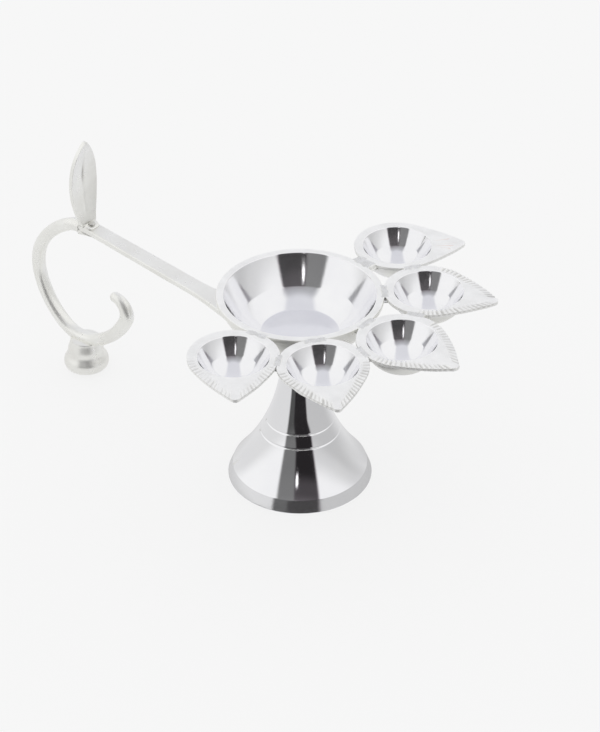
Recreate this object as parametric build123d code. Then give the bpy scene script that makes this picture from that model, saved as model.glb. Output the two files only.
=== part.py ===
from build123d import *
import os
from math import acos, cos, degrees, pi, radians, sin, sqrt

# Five-cup aarti lamp. Millimetres, floor at z = 0, +X towards the middle cup, handle along -X.

# Bowl
RIM_Z = 64.9
RIM_R = 24.74
RIM_W = 2.18
RIM_LIP_T = 1.6
BOWL_DEPTH = 13.4
BOWL_WALL = 1.6
BOWL_CREASE_R = 17.4
BOWL_CREASE_DEPTH = 10.2
BOWL_FLOOR_R = 11.5
BOWL_FLOOR_T = 2.0
BOWL_PAD_R = 8.0
BOWL_PAD_H = 0.6
BOWL_WALL_SAG = 0.5

# Leaf cups
CUP_R = 10.6
CUP_WALL = 1.45
CUP_RISE = 2.2
PLATE_T = 1.1
LEAF_TIP_ROUND = 1.4
LEAF_FLANK_ANGLE = 62.0

# Each cup's distance out from the rim, its leaf's heel, length and heading
CUP_OFFSETS = (12.76, 12.56, 13.06, 13.16, 14.96)
LEAF_RADII = (13.3, 13.3, 13.3, 13.3, 13.0)
LEAF_LENGTHS = (21.9, 22.5, 21.3, 21.5, 21.3)
LEAF_HEADINGS = (-48.4, -40.0, -3.6, 22.6, 43.2)

# Distance from each cup's centre to the next one's, and the middle cup's angle round the lamp
CUP_SPACINGS = (25.65, 26.0, 27.4, 26.2)
MIDDLE_CUP_ANGLE = -0.5

# Solder
SOLDER_GAP = 0.2
SOLDER_T = 1.2
RIM_SOLDER_W = 9.0
FLANK_SOLDER_W = 7.6

# Foot and its screw
FOOT_R = 22.15
FOOT_LIP_R = 20.6
FOOT_LIP_H = 3.9
FOOT_NECK_R = 5.6
FOOT_NECK_L = 2.5
FOOT_WALL = 1.8
FOOT_CROWN_Z = 23.0
FLARE_HIP_R = 14.4
FLARE_HIP_Z = 11.1
FLARE_WAIST_DROP = 18.0
STUD_R = 3.0
STUD_SOCKET = 1.2
THREAD_L = 14.0
THREAD_CLEAR = 0.05
HOLE_CLEAR = 0.15
WASHER_R = 5.4
WASHER_T = 0.8

# Handle strap
STRAP_T = 1.8
STRAP_EYE_R = 8.0
STRAP_BEND_X = 22.0
STRAP_RISE = 6.2
STRAP_REACH = 87.5
STRAP_END_W = 5.2
STRAP_WAIST_X = 42.0
STRAP_WAIST_W = 5.9
STRAP_FLARE_PULL = 14.0
STRAP_WAIST_PULL = 12.0

# Curl: radius and turn of each arc of its centre line, from the strap's end round to the tail
BAR_R = 2.25
CURL_RADII = (8.9, 32.1, 17.5, 26.1, 13.1, 29.6, 4.9)
CURL_TURNS = (31.2, 28.7, 49.0, 38.6, 62.6, 38.2, 114.8)
TONGUE_L = 6.0
TONGUE_TIP_T = 0.5

# Thumb leaf
LEAF_PAD_L = 5.5
LEAF_PAD_T = 1.0
LEAF_PAD_ROUND = 1.8
BLADE_H = 28.9
BLADE_W = 11.1
BLADE_BASE_W = 5.6
BLADE_T = 1.3
BLADE_DISH_R = 18.0
BLADE_BOW = 2.0
BLADE_SET = 2.4
BLADE_ROOT = 0.8
BLADE_LEAN = 2.0
BLADE_LOW = 10.4
BLADE_HIGH = 22.0

# Rivet
RIVET_R = 0.8
RIVET_HEAD_R = 1.1
RIVET_HEAD_H = 0.5
RIVET_X = 3.9
RIVET_CLEAR = 0.03

# Rest knob
KNOB_R = 7.25
KNOB_NECK_R = 5.8
KNOB_TOP_R = 4.8
KNOB_SOLE_R = 3.0
KNOB_CLEAR = 0.2
KNOB_SHIFT = 1.2
KNOB_BELLY = 0.32
KNOB_NECK = 0.82

# Heights up the centre of the lamp
BOWL_PAD_Z = RIM_Z - BOWL_DEPTH - BOWL_FLOOR_T - BOWL_PAD_H
FOOT_H = BOWL_PAD_Z - STRAP_T - WASHER_T

# Cups round the rim, stepped both ways from the middle one
RIM_INNER_R = RIM_R - RIM_W
CUP_COUNT = len(CUP_OFFSETS)
CUP_REACHES = [RIM_R + offset for offset in CUP_OFFSETS]
CUP_TURNS = [
    degrees(acos((near**2 + far**2 - apart**2) / (2 * near * far)))
    for near, far, apart in zip(CUP_REACHES, CUP_REACHES[1:], CUP_SPACINGS)
]
FIRST_CUP_ANGLE = MIDDLE_CUP_ANGLE - sum(CUP_TURNS[: CUP_COUNT // 2])
CUP_ANGLES = [FIRST_CUP_ANGLE + sum(CUP_TURNS[:i]) for i in range(CUP_COUNT)]
CUP_CENTRES = [Vector(r, 0, RIM_Z).rotate(Axis.Z, turn) for r, turn in zip(CUP_REACHES, CUP_ANGLES)]

# Strap's end: middle of its end face, with local x back along the strap and z square to it
STRAP_SIN = sin(radians(STRAP_RISE))
STRAP_COS = cos(radians(STRAP_RISE))
STRAP_SLOPE_L = (STRAP_REACH - STRAP_BEND_X) / STRAP_COS
STRAP_END_TOP = (-STRAP_REACH, BOWL_PAD_Z + STRAP_SLOPE_L * STRAP_SIN)
STRAP_END_X = STRAP_END_TOP[0] - STRAP_T / 2 * STRAP_SIN
STRAP_END_Z = STRAP_END_TOP[1] - STRAP_T / 2 * STRAP_COS
STRAP_END = Location((STRAP_END_X, 0, STRAP_END_Z), (0, STRAP_RISE, 0))

# Heights in the frame of the strap's end: the bar's top is level with the strap's
BAR_Z = STRAP_T / 2 - BAR_R
BAR_LOW = BAR_Z - BAR_R
PAD_TOP = STRAP_T / 2 + LEAF_PAD_T
BAR_START = STRAP_END * Pos(0, 0, BAR_Z)


def disc(radius, z_low, z_high):
    """Upright round bar from z_low to z_high."""
    return Pos(0, 0, (z_low + z_high) / 2) * Cylinder(radius, z_high - z_low)


def block(x, y, z):
    """Box between pairs of limits along the three axes."""
    centre = Pos((x[0] + x[1]) / 2, (y[0] + y[1]) / 2, (z[0] + z[1]) / 2)
    return centre * Box(x[1] - x[0], y[1] - y[0], z[1] - z[0])


def turned(*edges):
    """Solid of revolution about the z axis from the edges of a closed half profile in XZ."""
    return revolve(make_face(Plane.XZ * Curve(edges)), Axis.Z)


def central_bowl():
    """Turned bowl: flat rim, steep wall, crease, dished floor and a pad under the centre."""
    crease_z = RIM_Z - BOWL_CREASE_DEPTH
    floor_z = RIM_Z - BOWL_DEPTH
    under_z = floor_z - BOWL_FLOOR_T
    lip_z = RIM_Z - RIM_LIP_T
    outer_top_r = RIM_INNER_R + BOWL_WALL
    inside = [
        Line((RIM_R, RIM_Z), (RIM_INNER_R, RIM_Z)),
        SagittaArc((RIM_INNER_R, RIM_Z), (BOWL_CREASE_R, crease_z), -BOWL_WALL_SAG),
        SagittaArc((BOWL_CREASE_R, crease_z), (BOWL_FLOOR_R, floor_z), -BOWL_WALL_SAG),
        Line((BOWL_FLOOR_R, floor_z), (0, floor_z)),
        Line((0, floor_z), (0, BOWL_PAD_Z)),
    ]
    outside = [
        Line((0, BOWL_PAD_Z), (BOWL_PAD_R, BOWL_PAD_Z)),
        Line((BOWL_PAD_R, BOWL_PAD_Z), (BOWL_PAD_R, under_z)),
        Line((BOWL_PAD_R, under_z), (BOWL_FLOOR_R, under_z)),
        SagittaArc((BOWL_FLOOR_R, under_z), (BOWL_CREASE_R + BOWL_WALL, crease_z), BOWL_WALL_SAG),
        SagittaArc((BOWL_CREASE_R + BOWL_WALL, crease_z), (outer_top_r, lip_z), BOWL_WALL_SAG),
        Line((outer_top_r, lip_z), (RIM_R, lip_z)),
        Line((RIM_R, lip_z), (RIM_R, RIM_Z)),
    ]
    socket = disc(STUD_R, BOWL_PAD_Z, BOWL_PAD_Z + STUD_SOCKET)
    return turned(*inside, *outside) - socket


def leaf_outline(heel_r, length):
    """Leaf seen from above: round heel about the cup's centre, bowed flanks and a blunt tip on +X."""
    turn = radians(LEAF_FLANK_ANGLE)
    swing = (length**2 - heel_r**2) / (2 * (length * cos(turn) - heel_r))
    start = Vector(heel_r * cos(turn), heel_r * sin(turn))
    centre = Vector(swing * cos(turn), swing * sin(turn))
    tip = Vector(length, 0)
    middle = centre + ((start + tip) / 2 - centre).normalized() * (heel_r - swing)
    flank = ThreePointArc(start, middle, tip)
    heel = ThreePointArc(start, (-heel_r, 0), (start.X, -start.Y))
    leaf = make_face(Curve([heel, flank, mirror(flank, Plane.XZ)]))
    point = leaf.vertices().sort_by(Axis.X)[-1]
    return fillet(point, LEAF_TIP_ROUND)


def cup_place(index):
    """Centre of one cup in the rim's plane, turned to the way its leaf points."""
    return Location(CUP_CENTRES[index], (0, 0, LEAF_HEADINGS[index]))


def flank_place(index):
    """Middle of the joint between one cup and the next, with x along the line between them."""
    near = CUP_CENTRES[index]
    far = CUP_CENTRES[index + 1]
    return Plane((near + far) / 2, x_dir=far - near, z_dir=(0, 0, 1)).location


def leaf_cup(index):
    """Round cup hung in a leaf-shaped plate, filed to meet the rim and the cups beside it."""
    heel_r = LEAF_RADII[index]
    plate = Pos(0, 0, -PLATE_T) * extrude(leaf_outline(heel_r, LEAF_LENGTHS[index]), PLATE_T)
    bulge = Pos(0, 0, CUP_RISE) * Sphere(CUP_R + CUP_WALL)
    hollow = Pos(0, 0, CUP_RISE) * Sphere(CUP_R)
    cup = plate + (bulge & block((-heel_r, heel_r), (-heel_r, heel_r), (-2 * heel_r, 0)))
    cup = cup_place(index) * (cup - hollow)
    cup = cup - disc(RIM_R + SOLDER_GAP, 0, 2 * RIM_Z)
    span = (-2 * heel_r, 2 * heel_r)
    if index > 0:
        beyond = block((-2 * heel_r, SOLDER_GAP / 2), span, span)
        cup = cup - flank_place(index - 1) * beyond
    if index < CUP_COUNT - 1:
        beyond = block((-SOLDER_GAP / 2, 2 * heel_r), span, span)
        cup = cup - flank_place(index) * beyond
    return cup


def rim_solder(cups):
    """Solder between the rim and each leaf, filling the narrow wedge on both sides of the contact."""
    half = RIM_SOLDER_W / 2
    inner = sqrt(RIM_R**2 - half**2) - SOLDER_GAP
    rim = disc(RIM_R, 0, 2 * RIM_Z)
    beads = []
    for reach, angle, heel_r, cup in zip(CUP_REACHES, CUP_ANGLES, LEAF_RADII, cups):
        outer = max(reach - sqrt(heel_r**2 - half**2), RIM_R) + SOLDER_GAP
        web = block((inner, outer), (-half, half), (RIM_Z - SOLDER_T, RIM_Z))
        beads.append(Rot(0, 0, angle) * web - rim - cup)
    return Compound(beads)


def flank_solder(cups):
    """Solder between the plates of neighbouring cups."""
    half = FLANK_SOLDER_W / 2
    beads = []
    for i, (near, far) in enumerate(zip(cups, cups[1:])):
        between = (CUP_CENTRES[i + 1] - CUP_CENTRES[i]).length / 2
        edges = [min(0, sqrt(heel_r**2 - half**2) - between) for heel_r in LEAF_RADII[i : i + 2]]
        span = (edges[0] - SOLDER_GAP, SOLDER_GAP - edges[1])
        web = block(span, (-half, half), (-SOLDER_T, 0))
        beads.append(flank_place(i) * web - near - far)
    return Compound(beads)


def foot_profile(inset):
    """Half profile of the trumpet: lip band, ogee flare and straight neck, drawn in by inset."""
    lip = (FOOT_LIP_R - inset, FOOT_LIP_H)
    hip = (FLARE_HIP_R - inset, FLARE_HIP_Z)
    neck_r = FOOT_NECK_R - inset
    neck_z = FOOT_H - FOOT_NECK_L
    return [
        Line((0, 0), (FOOT_R - inset, 0)),
        Line((FOOT_R - inset, 0), lip),
        Bezier(lip, hip, (neck_r, neck_z - FLARE_WAIST_DROP), (neck_r, neck_z)),
        Line((neck_r, neck_z), (neck_r, FOOT_H)),
        Line((neck_r, FOOT_H), (0, FOOT_H)),
        Line((0, FOOT_H), (0, 0)),
    ]


def trumpet_foot():
    """Hollow cast foot with a solid neck, drilled through for the stud."""
    hollow = turned(*foot_profile(FOOT_WALL)) & disc(FOOT_R, 0, FOOT_CROWN_Z)
    bore = disc(STUD_R + THREAD_CLEAR, 0, FOOT_H)
    return turned(*foot_profile(0)) - hollow - bore


def foot_stud():
    """Screw stud let into the bowl's pad, through the strap and washer into the foot."""
    return disc(STUD_R, FOOT_H - THREAD_L, BOWL_PAD_Z + STUD_SOCKET)


def foot_washer():
    """Flat washer between the strap's eye and the top of the foot."""
    return disc(WASHER_R, FOOT_H, FOOT_H + WASHER_T) - disc(STUD_R + HOLE_CLEAR, 0, RIM_Z)


def strap_outline():
    """Strap seen from above: round eye, flare under the bowl, waist and gentle taper to the end."""
    past_end = STRAP_END_X - STRAP_T
    taper = (STRAP_WAIST_W - STRAP_END_W) / 2 / (STRAP_REACH - STRAP_WAIST_X)
    waist = (-STRAP_WAIST_X, STRAP_WAIST_W / 2)
    waist_pull = (-STRAP_WAIST_X + STRAP_WAIST_PULL, STRAP_WAIST_W / 2)
    corner = (past_end, STRAP_END_W / 2 - taper * STRAP_T)
    half = [
        CenterArc((0, 0), STRAP_EYE_R, 0, 90),
        Bezier((0, STRAP_EYE_R), (-STRAP_FLARE_PULL, STRAP_EYE_R), waist_pull, waist),
        Line(waist, corner),
        Line(corner, (past_end, 0)),
    ]
    return make_face(Curve(half + [mirror(edge, Plane.XZ) for edge in half]))


def handle_strap():
    """Flat strip with an eye on the stud, bent up to rise gently to the curl."""
    half_turn = radians(STRAP_RISE / 2)
    end = Vector(*STRAP_END_TOP)
    bend = Vector(-STRAP_BEND_X, BOWL_PAD_Z)
    side = Polyline(
        (STRAP_EYE_R, BOWL_PAD_Z),
        bend,
        end,
        end - Vector(STRAP_SIN, STRAP_COS) * STRAP_T,
        bend - Vector(sin(half_turn), cos(half_turn)) * (STRAP_T / cos(half_turn)),
        (STRAP_EYE_R, BOWL_PAD_Z - STRAP_T),
        close=True,
    )
    strip = extrude(make_face(Plane.XZ * side), STRAP_EYE_R, both=True)
    strap = strip & extrude(strap_outline(), 2 * RIM_Z)
    eye = disc(STUD_R + HOLE_CLEAR, 0, 2 * RIM_Z)
    return strap - eye - STRAP_END * rivet_hole()


def curl_line():
    """Centre line of the curl as tangent arcs in XZ, and its lowest point."""
    point = BAR_START.position
    lowest = point
    heading = radians(180 - STRAP_RISE)
    arcs = []
    for radius, turn in zip(CURL_RADII, CURL_TURNS):
        centre = point + Vector(-sin(heading), 0, cos(heading)) * radius
        middle = heading + radians(turn) / 2
        end = heading + radians(turn)
        halfway = centre + Vector(sin(middle), 0, -cos(middle)) * radius
        finish = centre + Vector(sin(end), 0, -cos(end)) * radius
        if heading < 2 * pi <= end:
            lowest = centre - Vector(0, 0, radius)
        arcs.append(ThreePointArc(point, halfway, finish))
        point = finish
        heading = end
    return Wire(arcs), lowest


def curl_bar():
    """Round bar of the curl with its rounded tail."""
    line, _ = curl_line()
    ring = BAR_START * (Plane.YZ * Circle(BAR_R))
    tail = Pos(line @ 1) * Sphere(BAR_R)
    return sweep(ring, path=line) + tail


def handle_curl():
    """Curl and the half-round tongue, filed thin, by which it is riveted under the strap's end."""
    side = Polyline(
        (0, -STRAP_T / 2),
        (TONGUE_L, -STRAP_T / 2),
        (TONGUE_L, -STRAP_T / 2 - TONGUE_TIP_T),
        (0, BAR_LOW),
        close=True,
    )
    wedge = extrude(make_face(Plane.XZ * side), BAR_R, both=True)
    stub = Pos(0, 0, BAR_Z) * extrude(Plane.YZ * Circle(BAR_R), TONGUE_L)
    return curl_bar() + STRAP_END * ((wedge & stub) - rivet_hole())


def rivet_hole():
    """Cutter for the rivet's hole, in the frame of the strap's end."""
    return Pos(RIVET_X, 0, 0) * Cylinder(RIVET_R + RIVET_CLEAR, 4 * BAR_R)


def blade_outline():
    """Front view of the thumb leaf: narrow root, full width halfway along its edges, pointed top."""
    root = (BLADE_BASE_W / 2, -BLADE_ROOT)
    pull = (4 * BLADE_W - root[0]) / 6
    edge = Bezier(root, (pull, BLADE_LOW), (pull, BLADE_HIGH), (0, BLADE_H))
    base = Line((-root[0], root[1]), root)
    return make_face(Curve([edge, mirror(edge, Plane.YZ), base]))


def thumb_leaf():
    """Leaf dished like a spoon, standing on a pad riveted to the strap's end."""
    half = STRAP_END_W / 2
    pad = block((0, LEAF_PAD_L), (-half, half), (STRAP_T / 2, PAD_TOP))
    pad = fillet(pad.edges().filter_by(Axis.Z).group_by(Axis.X)[-1], LEAF_PAD_ROUND) - rivet_hole()
    front_r = BLADE_DISH_R
    back_r = BLADE_DISH_R + BLADE_T
    sheet = turned(
        Line((front_r, -BLADE_ROOT), (front_r, 0)),
        ThreePointArc((front_r, 0), (front_r + BLADE_BOW, BLADE_H / 2), (front_r, BLADE_H)),
        Line((front_r, BLADE_H), (back_r, BLADE_H)),
        ThreePointArc((back_r, BLADE_H), (back_r + BLADE_BOW, BLADE_H / 2), (back_r, 0)),
        Line((back_r, 0), (back_r, -BLADE_ROOT)),
        Line((back_r, -BLADE_ROOT), (front_r, -BLADE_ROOT)),
    )
    outline = extrude(Plane.YZ * blade_outline(), -back_r - BLADE_BOW)
    blade = Pos(BLADE_DISH_R, 0, 0) * (sheet & outline)
    foot = STRAP_END * Pos(BLADE_SET, 0, PAD_TOP)
    upright = Location(foot.position, (0, BLADE_LEAN, 0))
    return STRAP_END * pad + upright * blade


def leaf_rivet():
    """Domed rivet through the leaf's pad, the strap and the curl's tongue, filed flush below."""
    tail_z = BAR_LOW - (BAR_LOW + STRAP_T / 2 + TONGUE_TIP_T) * RIVET_X / TONGUE_L
    dome_r = (RIVET_HEAD_R**2 + RIVET_HEAD_H**2) / (2 * RIVET_HEAD_H)
    dome = Pos(0, 0, PAD_TOP + RIVET_HEAD_H - dome_r) * Sphere(dome_r)
    head = dome & disc(RIVET_HEAD_R, PAD_TOP, PAD_TOP + RIVET_HEAD_H)
    shank = disc(RIVET_R, tail_z, PAD_TOP)
    return STRAP_END * Pos(RIVET_X, 0, 0) * (head + shank)


def rest_knob():
    """Mushroom knob just inside the curl's lowest point, hollowed to the bar that it is soldered to."""
    _, lowest = curl_line()
    height = lowest.Z - BAR_R - KNOB_CLEAR
    sole = (KNOB_SOLE_R, KNOB_CLEAR)
    belly = (KNOB_R, KNOB_CLEAR + KNOB_BELLY * height)
    neck = (KNOB_NECK_R, KNOB_CLEAR + KNOB_NECK * height)
    top = (KNOB_TOP_R, lowest.Z)
    profile = [
        Line((0, KNOB_CLEAR), sole),
        Bezier(sole, (KNOB_R, sole[1]), belly),
        Bezier(belly, (KNOB_R, neck[1]), neck),
        Line(neck, top),
        Line(top, (0, lowest.Z)),
        Line((0, lowest.Z), (0, KNOB_CLEAR)),
    ]
    return Pos(lowest.X + KNOB_SHIFT, 0, 0) * turned(*profile) - curl_bar()


leaf_cups = [leaf_cup(i) for i in range(CUP_COUNT)]
nodes = {
    "central_bowl": central_bowl(),
    "rim_solder": rim_solder(leaf_cups),
    "flank_solder": flank_solder(leaf_cups),
    "foot_stud": foot_stud(),
    "foot_washer": foot_washer(),
    "trumpet_foot": trumpet_foot(),
    "handle_strap": handle_strap(),
    "handle_curl": handle_curl(),
    "thumb_leaf": thumb_leaf(),
    "leaf_rivet": leaf_rivet(),
    "rest_knob": rest_knob(),
}
for number, cup in enumerate(leaf_cups, start=1):
    nodes[f"leaf_cup_{number}"] = cup

os.makedirs("parts", exist_ok=True)
for name, shape in nodes.items():
    export_step(shape, f"parts/{name}.step")
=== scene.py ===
from math import acos, asin, atan2, cos, exp, hypot, pi, radians, sin, sqrt, tan

import bpy
from mathutils import Matrix, Vector, noise


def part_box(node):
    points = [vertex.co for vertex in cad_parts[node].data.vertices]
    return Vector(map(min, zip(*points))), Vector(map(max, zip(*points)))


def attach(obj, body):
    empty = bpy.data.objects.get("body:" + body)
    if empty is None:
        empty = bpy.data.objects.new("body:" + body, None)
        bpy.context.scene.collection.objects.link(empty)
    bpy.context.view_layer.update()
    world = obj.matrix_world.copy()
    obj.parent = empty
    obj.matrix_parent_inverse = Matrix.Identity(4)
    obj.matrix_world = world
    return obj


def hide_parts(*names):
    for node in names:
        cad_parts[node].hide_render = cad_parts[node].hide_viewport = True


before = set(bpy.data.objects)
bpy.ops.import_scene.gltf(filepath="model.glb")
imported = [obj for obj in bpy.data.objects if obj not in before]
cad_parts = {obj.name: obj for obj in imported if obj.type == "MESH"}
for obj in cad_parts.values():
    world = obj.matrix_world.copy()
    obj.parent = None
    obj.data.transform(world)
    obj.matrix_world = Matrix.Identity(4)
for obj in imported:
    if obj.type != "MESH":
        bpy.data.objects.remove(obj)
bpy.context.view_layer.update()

# Five-cup aarti lamp dressed over its solids. Lengths are millimetres until a mesh is made.
MM = 0.001


def node_box(node):
    """Lowest and highest corner of one solid, in millimetres."""
    low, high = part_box(node)
    return low / MM, high / MM


# Sizes read from the solids
bowl_low, bowl_high = node_box("central_bowl")
foot_high = node_box("trumpet_foot")[1]
stud_low, stud_high = node_box("foot_stud")
washer_low, washer_high = node_box("foot_washer")
knob_low, knob_high = node_box("rest_knob")
RIM_Z = bowl_high.z
RIM_R = bowl_high.x
PAD_Z = bowl_low.z
FOOT_R = foot_high.x
FOOT_H = foot_high.z

# Bowl
RIM_W = 2.18
RIM_INNER_R = RIM_R - RIM_W
RIM_LIP_T = 1.6
RIM_SOFT = 0.35
BOWL_DEPTH = 13.4
BOWL_WALL = 1.6
BOWL_WALL_SAG = 0.5
BOWL_CREASE_R = 17.4
BOWL_CREASE_DEPTH = 10.2
BOWL_FLOOR_R = 11.5
BOWL_FLOOR_T = 2.0
BOWL_PAD_R = 8.0
CREASE_SOFT = 0.5

# Inside of the bowl, with a crease higher than the outside's
HOLLOW_CREASE_DEPTH = 8.7
HOLLOW_WALL_SAG = 0.16
HOLLOW_BASIN_SAG = 0.31

# Leaf cups: the outside is a sphere, the inside a nearly straight wall down to a rounded base
CUP_R = 10.6
CUP_WALL = 1.45
CUP_RISE = 2.2
CUP_DEPTH = CUP_R - CUP_RISE
CUP_CREASE_R = 7.4
CUP_CREASE_DEPTH = 4.9
CUP_WALL_SAG = 0.09
CUP_STEPS = 720
CUP_ARC_STEPS = 16
MOUTH_R = sqrt(CUP_R**2 - CUP_RISE**2)
MOUTH_SOFT = 0.3
PLATE_T = 1.1
PLATE_WAVE = 0.04
PLATE_TOP_SOFT = 0.3
PLATE_LOW_SOFT = 0.25
PLATE_TUCK_SOFT = 0.5
LEAF_TIP_ROUND = 1.4
LEAF_FLANK = radians(62.0)
LEAF_EDGE_WAVE = 0.12
FILED_LEAST = 0.02
FILED_STEPS = 4000

# Each cup's distance out from the rim, its leaf's heel, length and heading
CUP_OFFSETS = (12.76, 12.56, 13.06, 13.16, 14.96)
LEAF_RADII = (13.3, 13.3, 13.3, 13.3, 13.0)
LEAF_LENGTHS = (21.9, 22.5, 21.3, 21.5, 21.3)
LEAF_HEADINGS = tuple(radians(turn) for turn in (-48.4, -40.0, -3.6, 22.6, 43.2))
CUP_COUNT = len(CUP_OFFSETS)

# Distance from each cup's centre to the next one's, and the middle cup's angle round the lamp
CUP_SPACINGS = (25.65, 26.0, 27.4, 26.2)
MIDDLE_CUP_ANGLE = radians(-0.5)
CUP_REACHES = [RIM_R + offset for offset in CUP_OFFSETS]
CUP_TURNS = [acos((near**2 + far**2 - apart**2) / (2 * near * far))
             for near, far, apart in zip(CUP_REACHES, CUP_REACHES[1:], CUP_SPACINGS)]
FIRST_CUP_ANGLE = MIDDLE_CUP_ANGLE - sum(CUP_TURNS[: CUP_COUNT // 2])
CUP_ANGLES = [FIRST_CUP_ANGLE + sum(CUP_TURNS[:i]) for i in range(CUP_COUNT)]

# Flutes chiselled along the leaf borders, with their depth on each cup
FLUTE_DEPTHS = (0.22, 0.36, 0.32, 0.36, 0.03)
FLUTE_PITCH = 1.55
FLUTE_L = 2.9
FLUTE_L_MOST = 0.85
FLUTE_FIRST = 1.0
FLUTE_LAST = 27.0
FLUTE_FADE_IN = 0.8
FLUTE_FADE_OUT = 3.0
FLUTE_DRIFT = 0.3
FLUTE_MEAN = 0.8
FLUTE_UNEVEN = 0.6
FLUTE_RAMP = 0.3
FLUTE_NOTCH = 0.08
FLUTE_SHARES = (1.0, 0.86, 0.72, 0.58, 0.44, 0.3, 0.18, 0.08)

# Painted shade in the flutes, darker the deeper the plate is cut, and the worn patch on the last leaf
LAND_DROP = 0.5
LAND_SLACK = 0.05
FLUTE_SHADE_GAIN = 1.5
FLUTE_SHADE_MOST = 0.45
WEAR_REACH = 13.3
WEAR_R = 3.6
WEAR_RAGGED = 1.3
WEAR_LUMP = 1.3
WEAR_FAR = -0.6
WEAR_GAIN = 1.3
WEAR_MOST = 0.85

# Solder beads
SOLDER_GAP = 0.2
SOLDER_T = 1.2
SOLDER_LEAST_T = 0.1
BEAD_LAP = 1.2
RIM_BEAD_HALF_L = 4.5
FLANK_BEAD_HALF_L = 3.8
BEAD_CROWN = 0.30
BEAD_SINK = 0.16
BEAD_UNEVEN = 0.16
BEAD_LUMP = 1.3
BEAD_PINCH = 0.12
BEAD_END = 0.2
BEAD_END_DROP = 1.1
RIM_BEAD_SEED = 20.0
FLANK_BEAD_SEED = 30.0

# Foot
FOOT_LIP_R = 20.6
FOOT_LIP_H = 3.9
FOOT_NECK_R = 5.6
FOOT_NECK_L = 2.5
FOOT_WALL = 1.8
FOOT_CROWN_Z = 23.0
FOOT_TOP_BAND = 1.0
FOOT_RING_SOFT = 0.4
FOOT_LIP_SOFT = 0.35
FOOT_EDGE_SOFT = 0.3
FLARE_HIP_R = 14.4
FLARE_HIP_Z = 11.1
FLARE_WAIST_DROP = 18.0
FLARE_STEPS = 300
BORE_R = 3.05
GROOVE_HEIGHTS = (20.7, 16.8)
GROOVE_DEPTH = 0.22
GROOVE_W = 0.16

# Screw stud and washer
THREAD_PITCH = 1.0
THREAD_DEPTH = 0.35
THREAD_LEVELS = 10
STUD_STEPS = 48
WASHER_PLAY = 0.1
WASHER_SOFT = 0.2
WASHER_STEPS = 96

# Handle's strap
STRAP_T = 1.8
STRAP_EYE_R = 8.0
STRAP_BEND_X = 22.0
STRAP_RISE = radians(6.2)
STRAP_REACH = 87.5
STRAP_END_W = 5.2
STRAP_END_NARROW = 0.35
STRAP_WAIST_X = 42.0
STRAP_WAIST_W = 5.9
STRAP_FLARE_PULL = 14.0
STRAP_WAIST_PULL = 12.0
STRAP_LEAST_HALF = 0.5
STRAP_SOFT = 0.5
STRAP_EDGE_WAVE = 0.06
STRAP_TOP_WAVE = 0.03
STRAP_EYE_STEPS = 16
STRAP_STEPS = 120
STRAP_FLARE_STEPS = 200

# Handle's curl, with the share of its length where its tail swells and then thins
BAR_R = 2.25
BAR_Z = STRAP_T / 2 - BAR_R
BAR_LOW = BAR_Z - BAR_R
BAR_FLAT = 0.86
BAR_FLAT_POWER = 0.75
BAR_BROAD = 1.02
BAR_STEPS = 48
BAR_STEP_L = 0.6
BAR_MEAN = 0.97
BAR_UNEVEN = 0.02
CURL_RADII = (8.9, 32.1, 17.5, 26.1, 13.1, 29.6, 4.9)
CURL_TURNS = (31.2, 28.7, 49.0, 38.6, 62.6, 38.2, 114.8)
CURL_LEAST_STEPS = 12
TAIL_SWELL = 0.1
TAIL_SWELL_AT = 0.88
TAIL_SWELL_L = 0.06
TAIL_THIN = 0.25
TAIL_THIN_AT = 0.92
TAIL_THIN_L = 0.08
TAIL_STEPS = 6
TAIL_LEAST_R = 0.05
TONGUE_L = 6.0
TONGUE_TIP_T = 0.5
TONGUE_BROAD = 0.96
TONGUE_FLAT = 1.2

# Thumb leaf, its pad and its rivet
LEAF_PAD_L = 5.5
LEAF_PAD_T = 1.0
PAD_TOP = STRAP_T / 2 + LEAF_PAD_T
PAD_STEPS = 12
PAD_NOSE_AT = 0.62
PAD_NOSE_L = 0.45
PAD_NOSE_DROP = 0.8
PAD_HEEL_L = 1.6
PAD_HEEL_DROP = 0.8
PAD_HEEL_NARROW = 0.4
PAD_SOFT = 0.5
PAD_SEAT_SOFT = 0.1
BLADE_H = 28.9
BLADE_W = 11.1
BLADE_BASE_W = 5.6
BLADE_T = 1.3
BLADE_DISH_R = 18.0
BLADE_BOW = 2.0
BLADE_SET = 2.4
BLADE_ROOT = 0.8
BLADE_LEAN = radians(2.0)
BLADE_LOW = 10.4
BLADE_HIGH = 22.0
BLADE_SOFT = 0.35
BLADE_STEPS = 80
BLADE_ACROSS = 28
BLADE_LEAST_HALF = 0.3
ROOT_H = 3.0
ROOT_FRONT = 0.25
ROOT_BACK = 0.5
CREASE_CUT = 0.16
CREASE_W = 0.45
CREASE_FADE = 4
DENT = 0.05
DENT_LUMP = 2.5
STAIN_Z = 17.0
STAIN_L = 3.0
STAIN_W = 0.4
STAIN_MOST = 0.75
RIVET_R = 0.8
RIVET_HEAD_R = 1.1
RIVET_HEAD_H = 0.5
RIVET_SUNK = 0.1
RIVET_X = 3.9
RIVET_STEPS = 48
RIVET_DOME_STEPS = 10
# How dark the rivet is painted, as painted shade
RIVET_SHADE = 0.45

# Rest knob, with the heights of belly and neck as shares of its own
KNOB_NECK_R = 5.8
KNOB_TOP_R = 4.8
KNOB_SOLE_R = 3.0
KNOB_SOLE_PULL = 0.8
KNOB_BELLY = 0.32
KNOB_BELLY_DOWN = 0.5
KNOB_BELLY_UP = 2.0
KNOB_NECK = 0.82
KNOB_NECK_DOWN = 2.2
KNOB_NECK_UP = 1.0
KNOB_STEPS = 96

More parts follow.
